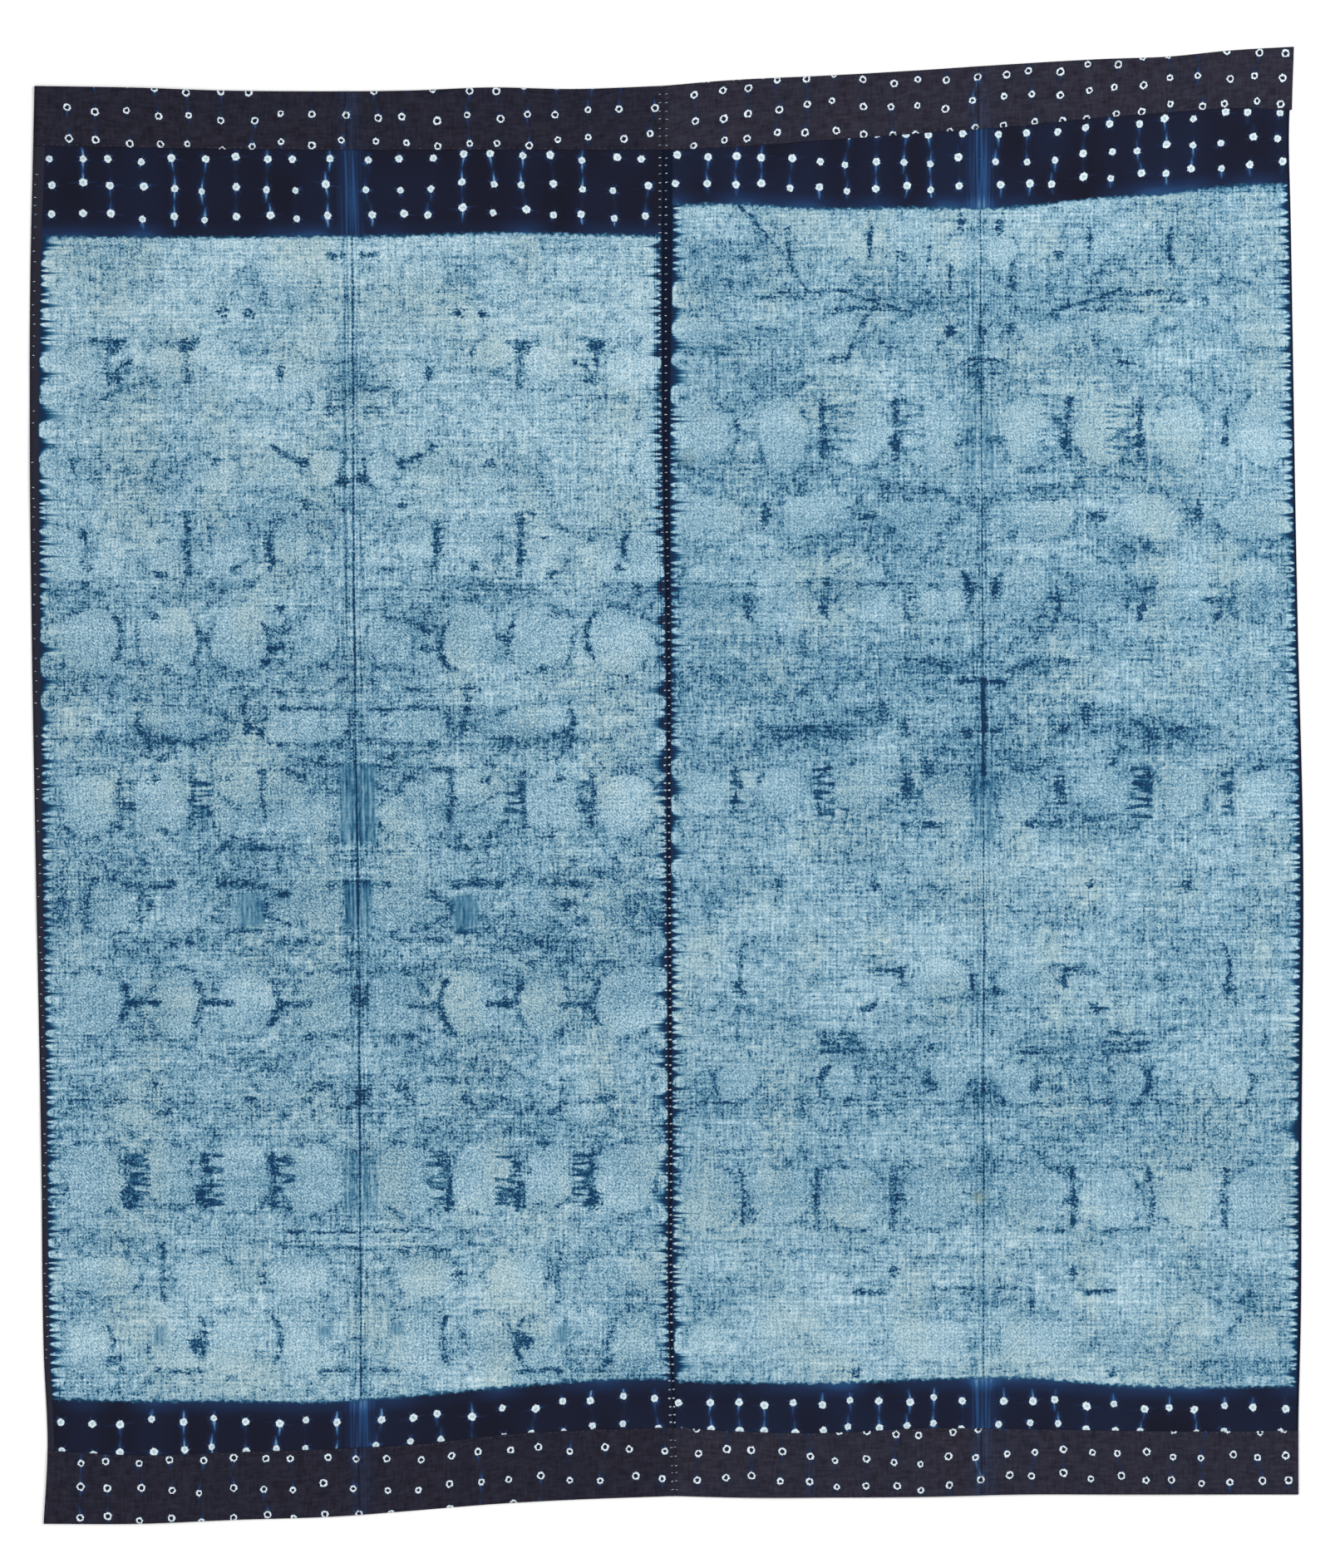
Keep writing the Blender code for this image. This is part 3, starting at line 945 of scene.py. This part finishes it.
def edge_teeth(measure, start, stop, y, slubs, length):
    """Dark teeth that run in from the nearer edge, finer in some stretches, and the pale gaps between."""
    nearer_stop = calculate("GREATER_THAN", start, stop)
    edge = least(start, stop)
    reach = blend(nearer_stop, length.start_teeth * MM, length.stop_teeth * MM)
    y = y + nearer_stop * 3
    drift = (wander(y / 0.026, length.seed + 31) - 0.5) * 2.0
    fine = zigzag(y / FINE_TOOTH + drift)
    broad = zigzag(y / BROAD_TOOTH + drift * 0.4)
    uneven = rise(wander(y / 0.011, length.seed + 33), 0.30, 0.75)
    fringe = calculate("POWER", fine, 1.3) * (0.28 + uneven * 0.80)
    scallops = calculate("POWER", broad, 2.2) * 0.95
    tooth = blend(rise(measure("scallop"), 0.60, 0.70), fringe, scallops)
    tooth = tooth * reach * (0.55 + rise(slubs, 0.30, 0.70) * 0.80)
    depth = fall(edge / (tooth + 0.001), 0.10, 1.50) * (0.92 - rise(edge, 0.001, 0.026) * 0.20)
    depth = most(depth, fall(edge, -0.001, 0.0035) * 0.86)
    return depth, fall(edge, 0.004, 0.016) * fall(depth, 0.1, 0.5)


def tied_marks(x, row, length, reach, ringed, seed):
    """Undyed spots left by tied seeds, with rays and streaks in the dye about them.

    row counts the rows of ties and reach gives how far inside the tied area a tie's own centre lies.
    Returns the spots' white, core and streaks.
    """
    across, along = length.tie_across * MM, length.tie_along * MM
    way_x, way_y, (first, second, third) = lattice(x / across, row, TIE_LOOSENESS)
    way_x = way_x * across
    way_y = way_y * along
    tied = reach(way_x, way_y)
    away = calculate("SQRT", way_x * way_x + way_y * way_y)
    ragged = (noise(vector(way_x + first, way_y + second), 0.0026, 0.0026, seed, 1.0) - 0.5) * 0.0030
    angle = calculate("ARCTAN2", way_y, way_x)
    spikes = rise(noise(vector(angle, second), 0.42, 0.02, seed, 0.0), 0.54, 0.70)
    rays = spikes * fall(away, 0.004, 0.012) * (0.35 if ringed else 0.55)
    # Each gap between two rows of a column has its own strength of streak
    gap = vector(calculate("FLOOR", x / across + 0.37), calculate("FLOOR", row - 0.13), seed)
    chance = x.tree.node("TexWhiteNoise", {"Vector": gap}, "Value", noise_dimensions="3D")
    strong = rise(chance, 0.30, 0.85)
    bent = way_x + way_y * (third - 0.5) * 0.16 + way_y * way_y * (first - 0.5) * 16 + ragged * 0.5
    upright = fall(abs(bent), 0.0002, 0.0024) * fall(abs(way_y), 0.006, 0.025)
    level = fall(abs(way_y + way_x * (third - 0.5) * 0.5), 0.0002, 0.0016)
    level = level * fall(abs(way_x), 0.010, 0.024) * rise(second, 0.45, 0.9)
    haze = fall(abs(bent), 0.001, 0.008) * fall(abs(way_y), 0.006, 0.026)
    streaks = upright * strong * 0.90 + level * 0.26 + haze * strong * 0.26
    streaks = streaks * (0.45 if ringed else 1) + rays
    size = (RING_RADIUS if ringed else SPOT_RADIUS) + (second - 0.5) * 0.0012
    if ringed:
        white = fall(abs(away + ragged - size), 0.0005, 0.0014)
        core = fall(away + ragged, size - 0.0020, size - 0.0007)
    else:
        white = fall(away + ragged, size - 0.0002, size + 0.0012)
        core = fall(away + ragged * 1.8, 0.0010, 0.0034) * 0.9
    return white * tied, core * tied, streaks * tied


def mark_ties(measure, x, length, reverse, start, stop, past_field, past_fold):
    """Place the tied rings of a dark end, and on the reverse those of its hem."""

    def border_reach(way_x, way_y):
        inside = rise(past_field - way_y, 0.012, 0.016)
        return inside * rise(start - way_x, 0.000, 0.003) * rise(stop + way_x, 0.002, 0.005)

    def hem_reach(way_x, way_y):
        return rise(start - way_x, 0.000, 0.004) * rise(stop + way_x, 0.002, 0.006)

    row = (past_field - 0.026) / (length.tie_along * MM) + 0.13
    row = row + (wander(x / 0.14, length.seed + 41) - 0.5) * 0.30
    # The columns of ties are 13.2 mm further apart across the fold
    from_column = x - 0.0048 - calculate("GREATER_THAN", x, -0.003) * 0.0132
    marks = tied_marks(from_column, row, length, border_reach, reverse, length.seed)
    if not reverse:
        return marks
    row = measure("hem_row") + 0.13
    hem_marks = tied_marks(x + 0.012, row, length, hem_reach, True, length.seed + 5)
    on_hem = rise(past_fold, -0.0005, 0.0005)
    return [blend(on_hem, on_body, marked) for on_body, marked in zip(marks, hem_marks)]


def field_colour(measure, place, x, y, start, stop, past_field, grain, length):
    """The pale field with its fold, its toothed edges and the blue along its ends."""
    field = field_density(measure, place, grain, length) + fold_density(measure, x, y, grain.ends, length)
    field = least(field, 0.88)
    depth, gap = edge_teeth(measure, start, stop, y, grain.slubs, length)
    field = most(field - gap * 0.10, depth)
    field = most(field, rise(past_field + grain.ragged * 0.010, -0.0070, 0.0004) * 0.74)
    if length.side == "left":
        # Painted shade: two dark lines in the creases beside the seam
        crease_shade = fall(abs(abs(stop - 0.0078) - 0.0016), 0.0004, 0.0014)
        field = field + crease_shade * rise(y, -0.06, 0.20) * 0.22
    aged = rise(measure("cloudy"), 0.35, 0.95) * fall(field, 0.25, 0.55)
    colour = tint(aged * 0.2, ramp(field, INDIGO), AGED)
    if not length.stains:
        return colour
    return tint(measure("stain") * (0.8 + grain.ragged * 1.2), colour, OCHRE)


def cloth_material(length, part, reverse):
    """Indigo-dyed cotton of the pale field or of a dark end, from its face or from its duller reverse."""
    tree = Tree(f"{length.slot}_{part}_{'reverse' if reverse else 'face'}")
    measure = tree.measure
    dye = length.dye
    place = measure("place", "Vector")
    x, y, _ = split(place)
    start, stop = measure("start_edge"), measure("stop_edge")
    past_field, past_fold = measure("past_field"), measure("past_fold")
    cloudy = measure("cloudy")
    grain = cotton_grain(place, x, y, length.seed)

    glow = fall(past_field, 0.0, 0.022) * cloudy
    crease = fall(abs(x), 0.002, 0.026) * (0.22 + rise(grain.ends, 0.30, 0.80) * 0.34)
    lit = glow * 0.42 + crease + cloudy * dye.clouds
    dulled = 0.9 - cloudy * 0.15
    if part == "end":
        white, core, streaks = mark_ties(measure, x, length, reverse, start, stop, past_field, past_fold)
        lit = lit + streaks * rise(past_field, 0.006, 0.014) * dye.streaks
        dulled = dulled * (1 - rise(streaks, 0.0, 0.5) * 0.8)
    colour = ramp(lit, BORDER)
    if part == "field":
        bordered = rise(past_field + grain.ragged * 0.007, -0.0030, 0.0024)
        field = field_colour(measure, place, x, y, start, stop, past_field, grain, length)
        colour = tint(bordered, field, colour)
        dulled = dulled * bordered
    for edge, black in ((start, dye.edge_black), (stop, SEAM_BLACK)):
        colour = tint(fall(edge, -0.001, 0.0015), colour, black)
    if reverse:
        worn = rise(grain.level * 0.4 + grain.upright * 0.3 + grain.clumps * 0.3, 0.24, 0.78)
        colour = tint(dulled, colour, tint(worn, dye.black, dye.worn))
    if part == "end":
        colour = tint(white, colour, RESIST_RING if reverse else RESIST_WHITE)
        colour = tint(core, colour, dye.black if reverse else RESIST_CORE)
    if part == "end" and reverse:
        # Painted shade: a dark line in the crease of each hem beside its centre fold
        crease_shade = fall(abs(x + 0.0028), 0.0006, 0.0026) * rise(past_fold, -0.0005, 0.0005)
        colour = tint(crease_shade * 0.6, colour, CREASE_SHADE)
    pebbles = pebbled(x, y, 0.0019, 0.0045, length.seed + 71, 1.0)
    return tree.finish(colour, 0.95, 0.06, bump(pebbles, 0.6, 0.0006))


def thread_material(name, light, dark):
    """Spun cotton thread that took the dye unevenly."""
    tree = Tree(name)
    place = tree.node("NewGeometry", (), "Position")
    x, y, _ = split(place)
    uneven = noise(place, 0.004, 0.004, 2, 2.0)
    plied = pebbled(x, y, 0.0004, 0.002, 4, 0.0)
    share = rise(uneven * 0.7 + plied * 0.3, 0.35, 0.65)
    return tree.finish(tint(share, dark, light), 0.85, 0.1, bump(plied, 0.5, 0.0002))


def add_object(name, data):
    thing = bpy.data.objects.new(name, data)
    bpy.context.scene.collection.objects.link(thing)
    return thing


def add_length(length, points):
    """Make one length of cloth, its thickness and its two sides."""
    mesh = sheet_mesh(length, points)
    for reverse in (False, True):
        for part in ("field", "end"):
            mesh.materials.append(cloth_material(length, part, reverse))
    cloth = add_object(f"{length.name}_cloth", mesh)
    shell = cloth.modifiers.new("thickness", "SOLIDIFY")
    shell.thickness = SHEET_THICKNESS
    shell.offset = 0
    shell.material_offset = 2
    shell.material_offset_rim = 0
    width = float(np.mean(points["x"][-1] - points["x"][0]))
    ends = [float(np.abs(points["past_fold"][:, row]).mean()) for row in (0, -1)]
    body = float(np.mean(points["y"].max(1) - points["y"].min(1)))
    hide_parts(length.name)
    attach(cloth, "root")


def cloth_top(x, y, from_fold, on_hem):
    """Height of the cloth's upper surface, where a stitch comes out of it."""
    return (HEM_HEIGHT if on_hem else BODY_HEIGHT) + SHEET_THICKNESS / 2 + relief(x, y, from_fold)


def add_stitches(name, ends, thickness, material, slot):
    """Sew a row of stitches, each a short arch of thread between the two ends given as x, y and height."""
    starts, stops = (np.stack(end, 1) for end in ends)
    steps, sides = 6, 6
    share = np.linspace(0, 1, steps)[None, :, None]
    middle = starts[:, None] * (1 - share) + stops[:, None] * share
    arch = np.sin(math.pi * share[..., 0])
    middle[..., 2] += (arch * 0.9 - 0.35) * thickness
    forward = (stops - starts) / np.linalg.norm(stops - starts, axis=1)[:, None]
    sideways = np.stack([-forward[:, 1], forward[:, 0], np.zeros(len(starts))], 1)[:, None, None]
    turn = np.linspace(0, math.tau, sides, endpoint=False)[None, None, :, None]
    radius = (thickness / 2 * (0.55 + 0.45 * arch))[..., None, None]
    rings = middle[:, :, None] + radius * (sideways * np.cos(turn) + np.array([0, 0, 1]) * np.sin(turn))
    index = np.arange(rings[..., 0].size).reshape(rings.shape[:3])
    round_on = np.roll(index, -1, 2)
    quads = np.stack([index[:, :-1], round_on[:, :-1], round_on[:, 1:], index[:, 1:]], -1)
    caps = np.concatenate([index[:, 0, ::-1], index[:, -1]])
    mesh = bpy.data.meshes.new(name)
    mesh.from_pydata(rings.reshape(-1, 3).tolist(), [], quads.reshape(-1, 4).tolist() + caps.tolist())
    mesh.materials.append(material)
    mesh.shade_smooth()
    thread = add_object(name, mesh)
    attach(thread, "root")


def side_line(column, station, y):
    """Read a column of SIDES at these heights, next to one station of the left length's ends."""
    bottom, top = station.bottom_fold * MM, station.top_fold * MM
    return read_curve(SIDES, column, (y - bottom) / (top - bottom))


def sew_seam(material):
    """Join the two lengths. Each stitch shows once on each side, where it comes up beside the seam."""
    rng = np.random.default_rng(21)
    for run in SEAM_RUNS:
        y = np.arange(run.low * MM, run.high * MM, SEAM_STITCH)
        y = y + rng.uniform(-0.9, 0.9, len(y)) * MM
        y = np.concatenate([y, y + rng.uniform(-0.5, 0.8, len(y)) * MM])
        left = np.arange(len(y)) < len(y) / 2
        seam, strip = (side_line(column, LEFT_ENDS[-1], y) for column in ("seam", "seam_strip"))
        x = seam + np.where(left, BESIDE_SEAM[0], BESIDE_SEAM[1] + strip * 0.3)
        reach = rng.uniform(1.2, 2.3, (2, len(y))) * MM
        slant = rng.uniform(-0.3, 1.0, len(y)) * MM
        height = cloth_top(x, y, FOLD_TO_EDGE + x, run.part in ("bottom", "top"))
        ends = (x - reach[0], y - slant / 2, height), (x + reach[1], y + slant / 2, height)
        add_stitches(f"seam_stitches_{run.part}", ends, run.thread * MM, material, "indigo_cotton_right")


def sew_hems(length, points, material):
    """Run a line of small stitches along each hem's free edge."""
    rng = np.random.default_rng(length.seed)
    width = points["x"][-1, 0] - points["x"][0, 0]
    count = int(width / HEM_STITCH)
    places = (np.arange(count) + 0.5 + rng.uniform(-0.15, 0.15, count)) / count * COLUMNS
    for part, row, inward in (("bottom", 0, -1), ("top", -1, 1)):
        ends = []
        for end in (-0.5, 0.5):
            at = np.clip(places + end * HEM_STITCH_SHARE * COLUMNS / count, 0, COLUMNS)
            edge = [points[name][:, row] for name in ("x", "y", "from_fold")]
            x, y, from_fold = (np.interp(at, np.arange(COLUMNS + 1), values) for values in edge)
            y = y + inward * HEM_INSET + rng.uniform(-0.4, 0.4, count) * MM
            ends.append((x, y, cloth_top(x, y, from_fold, True)))
        add_stitches(f"{length.name}_{part}_hem_stitches", ends, HEM_THREAD, material, length.slot)


def sew_selvedge(material):
    """Catch down the left selvedge with pale stitches, further apart in places. The selvedge is rolled on the
    cloth, but lies flat here.
    """
    rng = np.random.default_rng(8)
    y = np.arange(*SELVEDGE_RUN, SELVEDGE_STITCH)
    y = (y + rng.uniform(-3, 3, len(y)) * MM)[rng.random(len(y)) > SELVEDGE_GAPS]
    x = side_line("left_edge", LEFT_ENDS[0], y) + rng.uniform(3, 6, len(y)) * MM
    height = cloth_top(x, y, np.full_like(x, -FOLD_TO_EDGE), False)
    reach = rng.uniform(0.8, 2.4, len(y)) * MM
    slant = rng.uniform(-1, 1, len(y)) * MM
    ends = (x - 1.6 * MM, y, height), (x + reach, y + slant, height)
    add_stitches("selvedge_stitches", ends, SELVEDGE_THREAD, material, "indigo_cotton_left")


def add_floor():
    bpy.ops.mesh.primitive_plane_add(size=FLOOR_SIZE, location=(0, 0, -FLOOR_DEPTH))
    floor = bpy.context.object
    floor.name = "floor"
    floor.data.materials.append(Tree("pale_floor").finish(FLOOR_WHITE, 0.9, 0.1))


def light_studio():
    """Light the cloth softly, by an even world and square lights that face its middle."""
    world = bpy.data.worlds.new("studio")
    world.use_nodes = True
    background = world.node_tree.nodes["Background"]
    background.inputs["Color"].default_value = (1, 1, 1, 1)
    background.inputs["Strength"].default_value = WORLD_STRENGTH
    bpy.context.scene.world = world
    bpy.context.scene.view_settings.view_transform = "Standard"
    for light in LIGHTS:
        data = bpy.data.lights.new(light.name, "AREA")
        data.size = light.size
        data.energy = light.power
        lamp = add_object(light.name, data)
        lamp.location = light.place
        lamp.rotation_euler = (-lamp.location).to_track_quat("-Z", "Y").to_euler()


def add_camera():
    """Look straight down from far enough away that the cloth shows with little perspective."""
    camera = bpy.data.cameras.new("camera")
    camera.sensor_fit = "VERTICAL"
    camera.sensor_height = SENSOR_HEIGHT
    camera.lens = LENS
    holder = add_object("camera", camera)
    holder.location = (*VIEW_MIDDLE, PHOTO_ROWS * PIXEL * LENS / SENSOR_HEIGHT)
    bpy.context.scene.camera = holder


add_camera()
add_floor()
light_studio()
dark_thread = thread_material("dark_thread", *DARK_THREAD)
pale_thread = thread_material("pale_thread", *PALE_THREAD)
for length in LENGTHS:
    points = lay_out(length)
    add_length(length, points)
    sew_hems(length, points, dark_thread)
sew_seam(pale_thread)
sew_selvedge(pale_thread)
